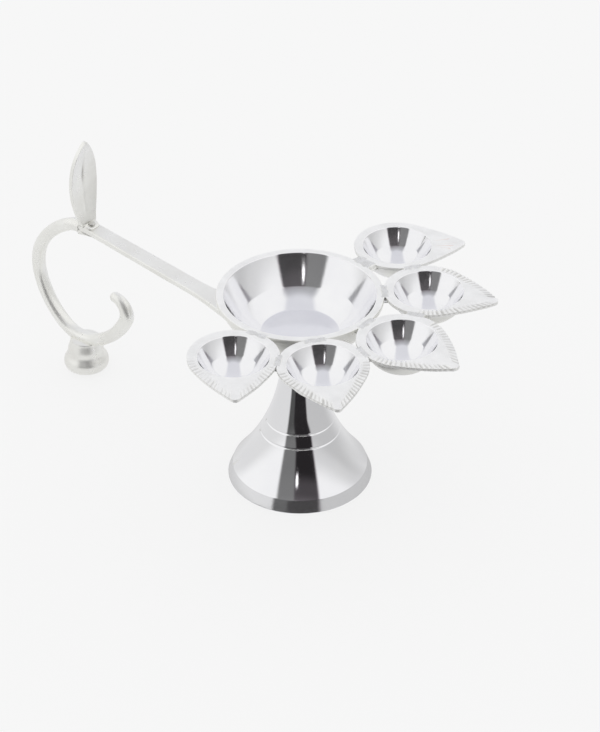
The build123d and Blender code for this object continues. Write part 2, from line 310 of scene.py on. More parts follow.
# Camera and floor
CAMERA_PLACE = Vector((399.3, -493.1, 479.3))
CAMERA_AIM = Vector((0.0, 0.0, 39.0))
CAMERA_LENS = 127.0
CAMERA_SENSOR = 36.0
CAMERA_CLIP = (0.01, 50.0)
FLOOR_REACH = 6000.0
FLOOR_GREY = 0.16
FLOOR_GLOW = 0.77

# Light tent, with the reach of each ring of its floor
TENT_R = 3000.0
TENT_TOP_SHARE = 0.001
TENT_COLUMNS = 240
TENT_ROWS = 72
TENT_FLOOR_Z = 0.3
TENT_FLOOR_REACHES = (TENT_R, 1200, 600, 400, 300, 240, 190, 150, 120, 95, 75, 60, 45, 30, 15, 1)

# Brightness of the tent's parts at the floor, then each gain between two rises in degrees
LEFT_WALL = (0.74, (0.20, 3, 15))
RIGHT_WALL = (0.55, (0.12, 8, 17), (0.27, 16, 31))
BACK_WALL = (0.78, (0.14, 4, 30))
GREY_FRONT = (0.08, (0.10, 3, 12), (0.02, 22, 34), (0.26, 38, 62))
BLACK_FRONT = (0.02, (0.05, 27, 34), (0.40, 38, 62))
OVERHEAD = (0.79, (-0.06, 45, 75))
WINDOW = 1.8
# Brightness of the painted shadow on the tent's floor right under the lamp
SHADOW_UNDER_LAMP = 0.5

# Edges of the open front in degrees from its middle, positive to the camera's right, with the same gains
HIGH_RISES = (40, 60)
FRONT_LEFT = (-41, (-3, *HIGH_RISES))
FRONT_RIGHT = (26, (8, 0, 8), (9, *HIGH_RISES))
FRONT_SOFT = (3, (8, *HIGH_RISES))
FRONT_SPLIT = (-24, (11, 0, 16))
SPLIT_SOFT = 5

# Where one part of the tent gives way to the next, in degrees, shares of its radius or millimetres
SIDE_TURNS = (-20, 30)
BACK_TURNS = (95, 150)
STRIP_SHARES = (0.26, 0.38)
STRIP_RISES = (58, 70)
STRIP_TURNS = (90, 120)
WINDOW_TURNS = (-9, -7, -5, -3)
WINDOW_RISES = (27.5, 29.5, 33.5, 35.5)
# Reaches over which the painted shadow under the lamp fades out
SHADOW_REACHES = (8, 40)

# Share of red, green and blue that the warm and the cool parts of the tent gain
WARM_TINT = (0.0, -0.10, -0.03)
COOL_TINT = (-0.03, -0.025, 0.03)

# Fineness of turned meshes and rounded corners, and the radius that stands for an axis
TURN_STEPS = 256
SOFT_STEPS = 4
SOFT_SHARE = 0.45
AWAY = 0.04


def swell(x, y, z, size):
    """Smooth random value between about -1 and 1 at a point, with lumps of one size."""
    return noise.noise(Vector((x, y, z)) / size)


def ease(value, low, high):
    """Smooth step from 0 at low to 1 at high."""
    t = min(1.0, max(0.0, (value - low) / (high - low)))
    return t * t * (3 - 2 * t)


def soften(points, radii):
    """Open line of points with each corner that has a radius rounded off."""
    line = []
    for i, (point, radius) in enumerate(zip(points, radii)):
        here = Vector(point)
        if not radius:
            line.append(here)
            continue
        back = Vector(points[i - 1]) - here
        ahead = Vector(points[(i + 1) % len(points)]) - here
        cut = min(radius, SOFT_SHARE * back.length, SOFT_SHARE * ahead.length)
        start = here + back.normalized() * cut
        end = here + ahead.normalized() * cut
        for k in range(SOFT_STEPS + 1):
            t = k / SOFT_STEPS
            line.append((1 - t) ** 2 * start + 2 * t * (1 - t) * here + t * t * end)
    return line


def bow(start, end, sag, steps):
    """Points along an arc between two points, without the last; sag is to the left of the way along it."""
    a, b = Vector(start), Vector(end)
    chord = b - a
    left = Vector((-chord.y, chord.x)).normalized()
    radius = (chord.length**2 / 4 + sag**2) / (2 * abs(sag))
    side = 1 if sag > 0 else -1
    centre = (a + b) / 2 + left * (sag - side * radius)
    first = atan2(a.y - centre.y, a.x - centre.x)
    sweep = -side * 2 * asin(chord.length / 2 / radius)
    turns = [first + sweep * k / steps for k in range(steps)]
    return [centre + radius * Vector((cos(turn), sin(turn))) for turn in turns]


def bezier(points, steps):
    """Points along a cubic curve, both ends included."""
    a, b, c, d = (Vector(point) for point in points)
    line = []
    for k in range(steps + 1):
        t = k / steps
        s = 1 - t
        line.append(s**3 * a + 3 * s * s * t * b + 3 * s * t * t * c + t**3 * d)
    return line


def lathe(profile, steps=TURN_STEPS):
    """Rings of points round the z axis, one for each point of a half profile."""
    turns = [2 * pi * k / steps for k in range(steps)]
    return [[Vector((r * cos(turn), r * sin(turn), z)) for turn in turns] for r, z in profile]


def skin(name, rings, loop=False):
    """Smooth mesh over closed rings of points, capped at both ends unless it closes on itself."""
    count = len(rings[0])
    points = [point * MM for ring in rings for point in ring]
    faces = []
    last = len(rings) if loop else len(rings) - 1
    for i in range(last):
        here = i * count
        there = (i + 1) % len(rings) * count
        for k in range(count):
            n = (k + 1) % count
            faces.append((here + k, here + n, there + n, there + k))
    if not loop:
        faces.append(tuple(reversed(range(count))))
        faces.append(tuple(range((len(rings) - 1) * count, len(rings) * count)))
    return smooth_mesh(name, points, faces)


def merge(name, meshes):
    """One mesh from several."""
    points = []
    faces = []
    for mesh in meshes:
        base = len(points)
        points += [vertex.co.copy() for vertex in mesh.vertices]
        faces += [tuple(base + k for k in face.vertices) for face in mesh.polygons]
        bpy.data.meshes.remove(mesh)
    return smooth_mesh(name, points, faces)


def smooth_mesh(name, points, faces):
    """Smooth-shaded mesh from points in metres."""
    mesh = bpy.data.meshes.new(name)
    mesh.from_pydata(points, [], faces)
    mesh.update()
    mesh.shade_smooth()
    return mesh


def paint(mesh, name, values):
    """Number for each vertex, which a material reads by its name."""
    layer = mesh.attributes.new(name, "FLOAT", "POINT")
    layer.data.foreach_set("value", values)


def add_object(mesh):
    """Object in the scene that shows a mesh under the mesh's name."""
    thing = bpy.data.objects.new(mesh.name, mesh)
    bpy.context.scene.collection.objects.link(thing)
    return thing


def add_piece(mesh, node, body, slot, *materials):
    """Piece that rides on a body in place of one solid."""
    piece = add_object(mesh)
    for material in materials:
        mesh.materials.append(material)
    normals = piece.modifiers.new("normals", "WEIGHTED_NORMAL")
    normals.mode = "FACE_AREA"
    normals.weight = 100
    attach(piece, body)
    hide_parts(node)


def choose(mesh, pick):
    """Material of each face by a rule on its centre in millimetres."""
    for face in mesh.polygons:
        face.material_index = pick(face.center / MM)


# Materials

def blank(name):
    """New node material, its node tree and its shader."""
    material = bpy.data.materials.new(name)
    material.use_nodes = True
    tree = material.node_tree
    return material, tree, tree.nodes["Principled BSDF"]


def grain(tree, size, detail):
    """Noise with lumps of about one size in millimetres, in the lamp's own frame."""
    place = tree.nodes.new("ShaderNodeTexCoord").outputs["Object"]
    texture = tree.nodes.new("ShaderNodeTexNoise")
    texture.inputs["Scale"].default_value = 1 / (size * MM)
    texture.inputs["Detail"].default_value = detail
    tree.links.new(place, texture.inputs["Vector"])
    return texture.outputs["Fac"]


def spread(tree, value, low, high, start=0.3, stop=0.7):
    """Value stretched from start..stop, where most of the noise lies, to low..high."""
    node = tree.nodes.new("ShaderNodeMapRange")
    for socket, number in zip(("From Min", "From Max", "To Min", "To Max"), (start, stop, low, high)):
        node.inputs[socket].default_value = number
    tree.links.new(value, node.inputs["Value"])
    return node.outputs["Result"]


def painted(tree, name, output="Fac"):
    """Number or colour painted on the vertices under a name."""
    node = tree.nodes.new("ShaderNodeAttribute")
    node.attribute_name = name
    return node.outputs[output]


def tint(tree, factor, first, second):
    """Colour between two, by a factor. Either may be a colour or another node's output."""
    node = tree.nodes.new("ShaderNodeMix")
    node.data_type = "RGBA"
    tree.links.new(factor, node.inputs["Factor"])
    for socket, colour in ((node.inputs[6], first), (node.inputs[7], second)):
        if isinstance(colour, tuple):
            socket.default_value = (*colour, 1.0)
        else:
            tree.links.new(colour, socket)
    return node.outputs[2]


def relief(tree, shader, height, strength, distance):
    """Bump on a shader, distance in millimetres."""
    node = tree.nodes.new("ShaderNodeBump")
    node.inputs["Strength"].default_value = strength
    node.inputs["Distance"].default_value = distance * MM
    tree.links.new(height, node.inputs["Height"])
    tree.links.new(node.outputs["Normal"], shader.inputs["Normal"])


def turned(tree, shader, pull):
    """Fine lines round an upright axis, which draw reflections out across the lines."""
    normal = tree.nodes.new("ShaderNodeNewGeometry").outputs["Normal"]
    round_axis = tree.nodes.new("ShaderNodeVectorMath")
    round_axis.operation = "CROSS_PRODUCT"
    round_axis.inputs[0].default_value = (0, 0, 1)
    tree.links.new(normal, round_axis.inputs[1])
    # A little is added, so that the tangent isn't zero on a level face
    steady = tree.nodes.new("ShaderNodeVectorMath")
    steady.inputs[1].default_value = (0.001, 0, 0)
    tree.links.new(round_axis.outputs["Vector"], steady.inputs[0])
    tree.links.new(steady.outputs["Vector"], shader.inputs["Tangent"])
    shader.inputs["Anisotropic"].default_value = pull
    shader.inputs["Anisotropic Rotation"].default_value = 0.25


def metal(name, light, dark, haze, rough, grain_size, bump, bare=1.0, pull=0.0):
    """Plated metal: hazy colour, uneven polish, fine grain, tarnish and painted shade where a mask is
    painted, and wear to the base metal.

    Frosted plate has a smaller bare share, and lathe-turned plate a pull.
    """
    material, tree, shader = blank(name)
    shader.inputs["Metallic"].default_value = bare
    if pull:
        turned(tree, shader, pull)
    cloud = spread(tree, grain(tree, haze, detail=4.0), 0.0, 1.0)
    colour = tint(tree, cloud, light, dark)
    # Darkened by a painted mask: real tarnish on the thumb leaf, painted shade in the flutes and on the
    # rivet
    colour = tint(tree, painted(tree, "tarnish_and_shade"), colour, TARNISH_AND_SHADE_COLOUR)
    colour = tint(tree, painted(tree, "wear"), colour, COPPER)
    tree.links.new(colour, shader.inputs["Base Color"])
    fine = grain(tree, grain_size, detail=6.0)
    tree.links.new(spread(tree, fine, *rough), shader.inputs["Roughness"])
    relief(tree, shader, fine, strength=0.6, distance=bump)
    return material


# Colour of the tarnish and of the painted shade
TARNISH_AND_SHADE_COLOUR = (0.30, 0.29, 0.26)
COPPER = (0.80, 0.52, 0.42)
MIRROR = metal("mirror_silver", (0.95, 0.95, 0.96), (0.91, 0.91, 0.93), haze=14.0, rough=(0.06, 0.10),
               grain_size=5.0, bump=0.004, pull=0.3)
SPUN = metal("spun_silver", (0.96, 0.96, 0.97), (0.92, 0.92, 0.94), haze=9.0, rough=(0.07, 0.12),
             grain_size=1.6, bump=0.012, bare=0.95, pull=0.6)
FROST = metal("frosted_silver", (0.94, 0.94, 0.93), (0.86, 0.86, 0.85), haze=4.0, rough=(0.34, 0.46),
              grain_size=0.35, bump=0.012, bare=0.55)
SATIN = metal("satin_silver", (0.93, 0.93, 0.90), (0.86, 0.855, 0.82), haze=9.0, rough=(0.26, 0.36),
              grain_size=3.0, bump=0.006, bare=0.72)
SOLDER = metal("plated_solder", (0.93, 0.93, 0.91), (0.78, 0.78, 0.75), haze=1.6, rough=(0.22, 0.4),
               grain_size=0.9, bump=0.05)
BRASS = metal("turned_brass", (0.70, 0.53, 0.25), (0.60, 0.44, 0.19), haze=4.0, rough=(0.2, 0.34),
              grain_size=0.3, bump=0.02)
CAST = metal("cast_inside", (0.62, 0.61, 0.58), (0.46, 0.45, 0.42), haze=3.0, rough=(0.5, 0.7),
             grain_size=0.8, bump=0.12)


# Bowl and foot

def central_bowl():
    """Bowl with a frosted flat rim, a spun inside and a satin outside."""
    crease_z = RIM_Z - BOWL_CREASE_DEPTH
    hollow_z = RIM_Z - HOLLOW_CREASE_DEPTH
    floor_z = RIM_Z - BOWL_DEPTH
    under_z = floor_z - BOWL_FLOOR_T
    lip_z = RIM_Z - RIM_LIP_T
    belly_r = BOWL_CREASE_R + BOWL_WALL
    basin = bow((BOWL_FLOOR_R, floor_z), (BOWL_CREASE_R, hollow_z), -HOLLOW_BASIN_SAG, steps=16)
    wall = bow((BOWL_CREASE_R, hollow_z), (RIM_INNER_R, RIM_Z), -HOLLOW_WALL_SAG, steps=24)
    skirt = bow((RIM_INNER_R + BOWL_WALL, lip_z), (belly_r, crease_z), BOWL_WALL_SAG, steps=16)
    belly = bow((belly_r, crease_z), (BOWL_FLOOR_R, under_z), BOWL_WALL_SAG, steps=12)
    inside = [Vector((AWAY, floor_z)), *basin, *wall]
    rim = [Vector((RIM_INNER_R, RIM_Z)), Vector((RIM_R, RIM_Z)), Vector((RIM_R, lip_z))]
    outside = [*skirt, *belly, Vector((BOWL_FLOOR_R, under_z)), Vector((BOWL_PAD_R, under_z))]
    pad = [Vector((BOWL_PAD_R, PAD_Z)), Vector((AWAY, PAD_Z))]
    line = [*inside, *rim, *outside, *pad]
    radii = [0.0] * len(line)
    radii[1 + len(basin)] = CREASE_SOFT
    for k in range(len(rim)):
        radii[len(inside) + k] = RIM_SOFT
    mesh = skin("bowl", lathe(soften(line, radii)))
    land = RIM_Z - RIM_SOFT / 4

    def finish(spot):
        out = hypot(spot.x, spot.y)
        if out > RIM_INNER_R and spot.z > land:
            return 1
        rise = max(0.0, spot.z - crease_z)
        inner = BOWL_CREASE_R + (RIM_INNER_R - BOWL_CREASE_R) * rise / BOWL_CREASE_DEPTH
        return 2 if out > inner + BOWL_WALL / 2 or spot.z < floor_z - BOWL_FLOOR_T / 4 else 0

    choose(mesh, finish)
    add_piece(mesh, "central_bowl", "lamp_top", "polished_silver", SPUN, FROST, SATIN)


def flare(inset):
    """Line of the trumpet's flare from the lip up to the neck, drawn in by inset."""
    neck_r = FOOT_NECK_R - inset
    neck_z = FOOT_H - FOOT_NECK_L
    lip = (FOOT_LIP_R - inset, FOOT_LIP_H)
    hip = (FLARE_HIP_R - inset, FLARE_HIP_Z)
    return bezier((lip, hip, (neck_r, neck_z - FLARE_WAIST_DROP), (neck_r, neck_z)), FLARE_STEPS)


def trumpet_foot():
    """Mirror foot with two turned lines round its flare and a spun lip, hollow and rough inside."""
    outer = []
    for r, z in flare(0):
        cut = sum(exp(-((z - height) / GROOVE_W) ** 2) for height in GROOVE_HEIGHTS)
        outer.append(Vector((r - GROOVE_DEPTH * cut, z)))
    inner = [point for point in reversed(flare(FOOT_WALL)) if point.y < FOOT_CROWN_Z]
    line = [Vector((FOOT_R, 0)), *outer, Vector((FOOT_NECK_R, FOOT_H)), Vector((BORE_R, FOOT_H))]
    line += [Vector((BORE_R, FOOT_CROWN_Z)), Vector((inner[0].x, FOOT_CROWN_Z)), *inner]
    line.append(Vector((FOOT_R - FOOT_WALL, 0)))
    radii = [0.0] * len(line)
    radii[0] = FOOT_RING_SOFT
    radii[1] = FOOT_LIP_SOFT
    radii[1 + len(outer)] = FOOT_EDGE_SOFT
    radii[-1] = FOOT_EDGE_SOFT
    mesh = skin("foot", lathe(soften(line, radii)), loop=True)
    shell = {}
    for r, z in outer:
        shell[round(z)] = r

    def finish(spot):
        edge = shell.get(round(spot.z), FOOT_LIP_R)
        if hypot(spot.x, spot.y) < edge - FOOT_WALL / 2 and spot.z < FOOT_H - FOOT_TOP_BAND:
            return 1
        return 2 if spot.z < FOOT_LIP_H - FOOT_EDGE_SOFT else 0

    choose(mesh, finish)
    add_piece(mesh, "trumpet_foot", "foot", "polished_silver", MIRROR, CAST, SPUN)


def foot_stud():
    """Stud with a cut thread."""
    low, high = stud_low.z, stud_high.z
    radius = stud_high.x
    levels = int((high - low) / THREAD_PITCH * THREAD_LEVELS)
    rings = []
    for i in range(levels + 1):
        z = low + (high - low) * i / levels
        start = min(1.0, (z - low) / THREAD_PITCH)
        ring = []
        for k in range(STUD_STEPS):
            phase = (z / THREAD_PITCH + k / STUD_STEPS) % 1.0
            r = radius - THREAD_DEPTH * (1 - start + start * abs(2 * phase - 1))
            turn = 2 * pi * k / STUD_STEPS
            ring.append(Vector((r * cos(turn), r * sin(turn), z)))
        rings.append(ring)
    add_piece(skin("stud", rings), "foot_stud", "lamp_top", "bare_brass", BRASS)


def foot_washer():
    """Flat washer with broken edges."""
    inner = BORE_R + WASHER_PLAY
    outer = washer_high.x
    low, high = washer_low.z, washer_high.z
    corners = [Vector((outer, low)), Vector((outer, high)), Vector((inner, high)), Vector((inner, low))]
    line = soften(corners, [WASHER_SOFT] * len(corners))
    mesh = skin("washer", lathe(line, WASHER_STEPS), loop=True)
    add_piece(mesh, "foot_washer", "washer", "bare_brass", BRASS)


# Leaf cups and solder

def cup_centre(index):
    """Centre of one cup in the rim's plane."""
    angle = CUP_ANGLES[index]
    return Vector((CUP_REACHES[index] * cos(angle), CUP_REACHES[index] * sin(angle), RIM_Z))


def joint_frame(index):
    """Middle of the joint between one cup and the next, and the way across it."""
    near = cup_centre(index)
    far = cup_centre(index + 1)
    return (near + far) / 2, (far - near).normalized()


def leaf_reach(index, turn):
    """How far one leaf's outline is from its cup's centre, by the angle from its tip."""
    turn = abs((turn + pi) % (2 * pi) - pi)
    heel, length = LEAF_RADII[index], LEAF_LENGTHS[index]
    if turn >= LEAF_FLANK:
        return heel
    swing = (length**2 - heel**2) / (2 * (length * cos(LEAF_FLANK) - heel))
    along = swing * cos(turn - LEAF_FLANK)
    reach = along + sqrt(along**2 - swing**2 + (heel - swing) ** 2)
    half_point = atan2(length - swing * cos(LEAF_FLANK), -swing * sin(LEAF_FLANK))
    round_x = length - LEAF_TIP_ROUND / cos(half_point)
    if abs(round_x * sin(turn)) < LEAF_TIP_ROUND * cos(half_point):
        reach = round_x * cos(turn) + sqrt(LEAF_TIP_ROUND**2 - (round_x * sin(turn)) ** 2)
    return reach


def filed_reach(index, turn):
    """Leaf's reach where it is filed to meet the rim and its neighbours."""
    centre = cup_centre(index)
    way = Vector((cos(turn), sin(turn), 0))
    reach = leaf_reach(index, turn - LEAF_HEADINGS[index])
    along = centre.x * way.x + centre.y * way.y
    depth = along**2 - CUP_REACHES[index] ** 2 + (RIM_R + SOLDER_GAP) ** 2
    if along < 0 and depth > 0:
        reach = min(reach, -along - sqrt(depth))
    for joint, sign in ((index - 1, -1), (index, 1)):
        if 0 <= joint < CUP_COUNT - 1:
            spot, across = joint_frame(joint)
            toward = sign * way.dot(across)
            if toward > 0:
                reach = min(reach, (sign * (spot - centre).dot(across) - SOLDER_GAP / 2) / toward)
    return reach


def even_turns(index):
    """Angles round one leaf, evenly spaced along its outline, with their distance along it from the tip."""
    heading = LEAF_HEADINGS[index]
    turns = [heading + 2 * pi * k / FILED_STEPS for k in range(FILED_STEPS + 1)]
    spots = [Vector((cos(turn), sin(turn))) * filed_reach(index, turn) for turn in turns]
    run = [0.0]
    for k in range(FILED_STEPS):
        run.append(run[-1] + (spots[k + 1] - spots[k]).length)
    found = []
    k = 0
    for j in range(CUP_STEPS):
        want = run[-1] * j / CUP_STEPS
        while run[k + 1] < want:
            k += 1
        found.append((turns[k], min(want, run[-1] - want)))
    return found


def flute(index, run, edge):
    """How deep the chisel went at one place along a leaf's border, from 0 to 1."""
    beat = run / FLUTE_PITCH + FLUTE_DRIFT * swell(edge.x, edge.y, index, 4.0)
    fade_in = max(0.0, (run - FLUTE_FIRST) / FLUTE_FADE_IN)
    fade_out = max(0.0, (FLUTE_LAST - run) / FLUTE_FADE_OUT)
    uneven = FLUTE_MEAN + FLUTE_UNEVEN * swell(edge.x, edge.y, 7.0 + index, 2.6)
    return max(0.0, min(1.0, fade_in, fade_out) * uneven * (0.5 - 0.5 * cos(2 * pi * beat)))


def cup_inside():
    """Half section of a cup's hollow from its middle out, without the mouth."""
    drop = CUP_DEPTH - CUP_CREASE_DEPTH
    base_r = (CUP_CREASE_R**2 + drop**2) / (2 * drop)
    tilts = [asin(CUP_CREASE_R / base_r) * k / CUP_ARC_STEPS for k in range(CUP_ARC_STEPS)]
    base = [Vector((max(AWAY, base_r * sin(t)), base_r * (1 - cos(t)) - CUP_DEPTH)) for t in tilts]
    wall = bow((CUP_CREASE_R, -CUP_CREASE_DEPTH), (MOUTH_R, 0), -CUP_WALL_SAG, CUP_ARC_STEPS)
    return base + wall


def cup_outside():
    """Half section under a cup from the plate in to the middle."""
    radius = CUP_R + CUP_WALL
    tuck = -asin((CUP_RISE + PLATE_T) / radius)
    tilts = [tuck + (-pi / 2 - tuck) * k / CUP_ARC_STEPS for k in range(CUP_ARC_STEPS + 1)]
    return [Vector((max(AWAY, radius * cos(t)), radius * sin(t) + CUP_RISE)) for t in tilts]


def cup_profile(index, turn, run):
    """Half section of one cup and its leaf, from the middle of the hollow out and back below."""
    centre = cup_centre(index)
    reach = filed_reach(index, turn)
    edge = centre + Vector((cos(turn), sin(turn), 0)) * reach
    filed = leaf_reach(index, turn - LEAF_HEADINGS[index]) - reach > FILED_LEAST
    cut = 0.0 if filed else flute(index, run, edge)
    if not filed:
        reach += LEAF_EDGE_WAVE * swell(edge.x, edge.y, 3.0, 5.0) - FLUTE_NOTCH * cut
    hollow = cup_inside()
    land = [Vector((MOUTH_R, 0))]
    inset = min(FLUTE_L, (reach - MOUTH_R) * FLUTE_L_MOST)
    for share in FLUTE_SHARES:
        depth = FLUTE_DEPTHS[index] * cut * min(1.0, (1 - share) / FLUTE_RAMP)
        r = reach - inset * share
        wave = PLATE_WAVE * swell(centre.x + r * cos(turn), centre.y + r * sin(turn), 11.0, 4.0)
        land.append(Vector((r, wave - depth)))
    land.append(Vector((reach, -FLUTE_DEPTHS[index] * cut)))
    land.append(Vector((reach, -PLATE_T)))
    line = [*hollow, *land, *cup_outside()]
    under = len(hollow) + len(land)
    radii = [0.0] * len(line)
    radii[CUP_ARC_STEPS] = CREASE_SOFT
    radii[len(hollow)] = MOUTH_SOFT
    radii[under - 2] = PLATE_TOP_SOFT
    radii[under - 1] = PLATE_LOW_SOFT
    radii[under] = PLATE_TUCK_SOFT
    return soften(line, radii)


def leaf_cup(index):
    """Spun cup in a frosted leaf plate with fluted borders."""
    centre = cup_centre(index)
    heading = LEAF_HEADINGS[index]
    profiles = [(turn, cup_profile(index, turn, run)) for turn, run in even_turns(index)]
    rings = []
    for j in range(len(profiles[0][1])):
        ring = []
        for turn, line in profiles:
            r, z = line[j]
            ring.append(centre + Vector((r * cos(turn), r * sin(turn), z)))
        rings.append(ring)
    mesh = skin(f"cup_{index + 1}", rings)
    flute_shades = []
    wear = []
    patch = centre + Vector((cos(heading), sin(heading), 0)) * WEAR_REACH
    for vertex in mesh.vertices:
        spot = vertex.co / MM
        out = hypot(spot.x - centre.x, spot.y - centre.y)
        on_land = out > MOUTH_R + MOUTH_SOFT and spot.z > RIM_Z - LAND_DROP
        # Painted shade: the land is darkened the deeper it lies below the plate's top, so the flutes read
        # darker
        tarnish_and_shade = min(FLUTE_SHADE_MOST, FLUTE_SHADE_GAIN * max(0.0, RIM_Z - LAND_SLACK - spot.z))
        flute_shades.append(tarnish_and_shade if on_land else 0.0)
        near = 1 - ((spot - patch).length / WEAR_R) ** 2
        ragged = near + WEAR_RAGGED * swell(spot.x, spot.y, 5.0, WEAR_LUMP)
        worn = index == CUP_COUNT - 1 and on_land and near > WEAR_FAR
        wear.append(min(WEAR_MOST, max(0.0, WEAR_GAIN * ragged)) if worn else 0.0)
    paint(mesh, "tarnish_and_shade", flute_shades)
    paint(mesh, "wear", wear)

    def finish(spot):
        out = hypot(spot.x - centre.x, spot.y - centre.y)
        in_hollow = hypot(out, spot.z - RIM_Z - CUP_RISE) < CUP_R + CUP_WALL / 2
        if spot.z < RIM_Z - LAND_SLACK and in_hollow:
            return 1
        return 2 if spot.z < RIM_Z - PLATE_T + 2 * LAND_SLACK else 0

    choose(mesh, finish)
    add_piece(mesh, f"leaf_cup_{index + 1}", "lamp_top", "matte_silver", FROST, SPUN, SATIN)


def solder_bead(name, spot, across, half_width, half_length, seed):
    """Uneven bead of solder in a joint, proud at its middle and sunk below the plates at its ends."""
    along = Vector((-across.y, across.x, 0))
    count = 48
    span = 12
    rings = []
    for i in range(count + 1):
        t = -1 + 2 * i / count
        ring = []
        for k in range(span + 1):
            u = -1 + 2 * k / span
            x = u * half_width
            y = t * half_length * (1 - BEAD_PINCH * (1 - u * u))
            place = spot + across * x + along * y
            crown = BEAD_CROWN * (1 - u**4) * (1 - t**4) - BEAD_SINK
            crown += BEAD_UNEVEN * swell(place.x, place.y, seed, BEAD_LUMP)
            crown -= BEAD_END_DROP * max(0.0, abs(t) - (1 - BEAD_END)) / BEAD_END
            ring.append(Vector((place.x, place.y, RIM_Z + max(crown, -SOLDER_T + SOLDER_LEAST_T))))
        for k in range(span + 1):
            u = 1 - 2 * k / span
            place = spot + across * u * half_width + along * t * half_length
            ring.append(Vector((place.x, place.y, RIM_Z - SOLDER_T)))
        rings.append(ring)
    return skin(name, rings)


def solder():
    """Beads between the rim and each leaf and between neighbouring leaves."""
    beads = []
    for i, angle in enumerate(CUP_ANGLES):
        across = Vector((cos(angle), sin(angle), 0))
        heel = max(RIM_R + SOLDER_GAP, CUP_REACHES[i] - LEAF_RADII[i])
        spot = across * (RIM_R + heel) / 2 + Vector((0, 0, RIM_Z))
        half = (heel - RIM_R) / 2 + BEAD_LAP
        beads.append(solder_bead(f"rim_bead_{i}", spot, across, half, RIM_BEAD_HALF_L, RIM_BEAD_SEED + i))
    add_piece(merge("rim_beads", beads), "rim_solder", "lamp_top", "solder", SOLDER)
    beads = []
    for i in range(CUP_COUNT - 1):
        spot, across = joint_frame(i)
        seed = FLANK_BEAD_SEED + i
        beads.append(solder_bead(f"flank_bead_{i}", spot, across, BEAD_LAP, FLANK_BEAD_HALF_L, seed))
    add_piece(merge("flank_beads", beads), "flank_solder", "lamp_top", "solder", SOLDER)


# Handle

def end_frame():
    """Frame at the middle of the strap's end: x back along the strap, z square to its top."""
    slope = (STRAP_REACH - STRAP_BEND_X) / cos(STRAP_RISE)
    x = -STRAP_REACH - STRAP_T / 2 * sin(STRAP_RISE)
    z = PAD_Z + slope * sin(STRAP_RISE) - STRAP_T / 2 * cos(STRAP_RISE)
    return Matrix.Translation((x, 0, z)) @ Matrix.Rotation(STRAP_RISE, 4, "Y")


END = end_frame()


def strap_half(x):
    """Half the strap's width at a distance back from the foot's axis."""
    if x >= 0:
        return sqrt(max(0.0, STRAP_EYE_R**2 - x * x))
    if x <= -STRAP_WAIST_X:
        share = (-x - STRAP_WAIST_X) / (STRAP_REACH - STRAP_WAIST_X)
        return (STRAP_WAIST_W + (STRAP_END_W - STRAP_WAIST_W) * share) / 2
    half = STRAP_WAIST_W / 2
    eye = (0, STRAP_EYE_R)
    waist = (-STRAP_WAIST_X, half)
    pulls = ((-STRAP_FLARE_PULL, STRAP_EYE_R), (-STRAP_WAIST_X + STRAP_WAIST_PULL, half))
    edge = bezier((eye, *pulls, waist), STRAP_FLARE_STEPS)
    return min(edge, key=lambda point: abs(point.x - x)).y


def handle_strap():
    """Flat strip with softened edges, rising from its eye to the curl."""
    stations = [STRAP_EYE_R * cos(pi / 2 * k / STRAP_EYE_STEPS) for k in range(1, STRAP_EYE_STEPS + 1)]
    stations += [-STRAP_REACH * k / STRAP_STEPS for k in range(1, STRAP_STEPS + 1)]
    rings = []
    for x in stations:
        half = max(strap_half(x), STRAP_LEAST_HALF)
        if x > -STRAP_BEND_X:
            middle = Vector((x, 0, PAD_Z - STRAP_T / 2))
            up = Vector((0, 0, 1))
        else:
            rise = (-x - STRAP_BEND_X) * tan(STRAP_RISE)
            up = Vector((sin(STRAP_RISE), 0, cos(STRAP_RISE)))
            middle = Vector((x, 0, PAD_Z + rise)) - up * STRAP_T / 2
        half += STRAP_EDGE_WAVE * swell(x, 0, 2.0, 6.0)
        half -= STRAP_END_NARROW * max(0.0, 1 - (x + STRAP_REACH) / PAD_HEEL_L) ** 2
        top = STRAP_T / 2 + STRAP_TOP_WAVE * swell(x, 0, 1.0, 4.0)
        corners = [Vector((half, -STRAP_T / 2)), Vector((half, STRAP_T / 2)), Vector((0, top))]
        corners += [Vector((-half, STRAP_T / 2)), Vector((-half, -STRAP_T / 2))]
        section = soften(corners, [STRAP_SOFT, STRAP_SOFT, 0.0, STRAP_SOFT, STRAP_SOFT])
        rings.append([middle + Vector((0, y, 0)) + up * z for y, z in section])
    add_piece(skin("strap", rings), "handle_strap", "lamp_top", "matte_silver", SATIN)


def curl_points():
    """Points and headings along the curl's centre line."""
    point = END @ Vector((0, 0, BAR_Z))
    heading = pi - STRAP_RISE
    found = [(point, heading)]
    for radius, turn in zip(CURL_RADII, CURL_TURNS):
        centre = point + Vector((-sin(heading), 0, cos(heading))) * radius
        steps = max(CURL_LEAST_STEPS, int(radius * radians(turn) / BAR_STEP_L))
        for k in range(1, steps + 1):
            way = heading + radians(turn) * k / steps
            found.append((centre + Vector((sin(way), 0, -cos(way))) * radius, way))
        point = found[-1][0]
        heading += radians(turn)
    return found


def bar_section(point, heading, size):
    """Ring round the bar: round on the outside of the curl and flattened on its inside."""
    inward = Vector((-sin(heading), 0, cos(heading)))
    ring = []
    for k in range(BAR_STEPS):
        turn = 2 * pi * k / BAR_STEPS
        out = cos(turn)
        bulge = BAR_FLAT * out**BAR_FLAT_POWER if out > 0 else out
        ring.append(point + inward * size * bulge + Vector((0, size * BAR_BROAD * sin(turn), 0)))
    return ring


def tongue_section(back, low):
    """Half-round ring of the tongue under the strap, at a distance back along it."""
    high = -STRAP_T / 2
    ring = []
    for k in range(BAR_STEPS):
        turn = 2 * pi * k / BAR_STEPS
        y = TONGUE_BROAD * BAR_R * sin(turn)
        z = (low + high) / 2 - (high - low) / 2 * max(-1, min(1, TONGUE_FLAT * cos(turn)))
        ring.append(END @ Vector((back, y, z)))
    return ring


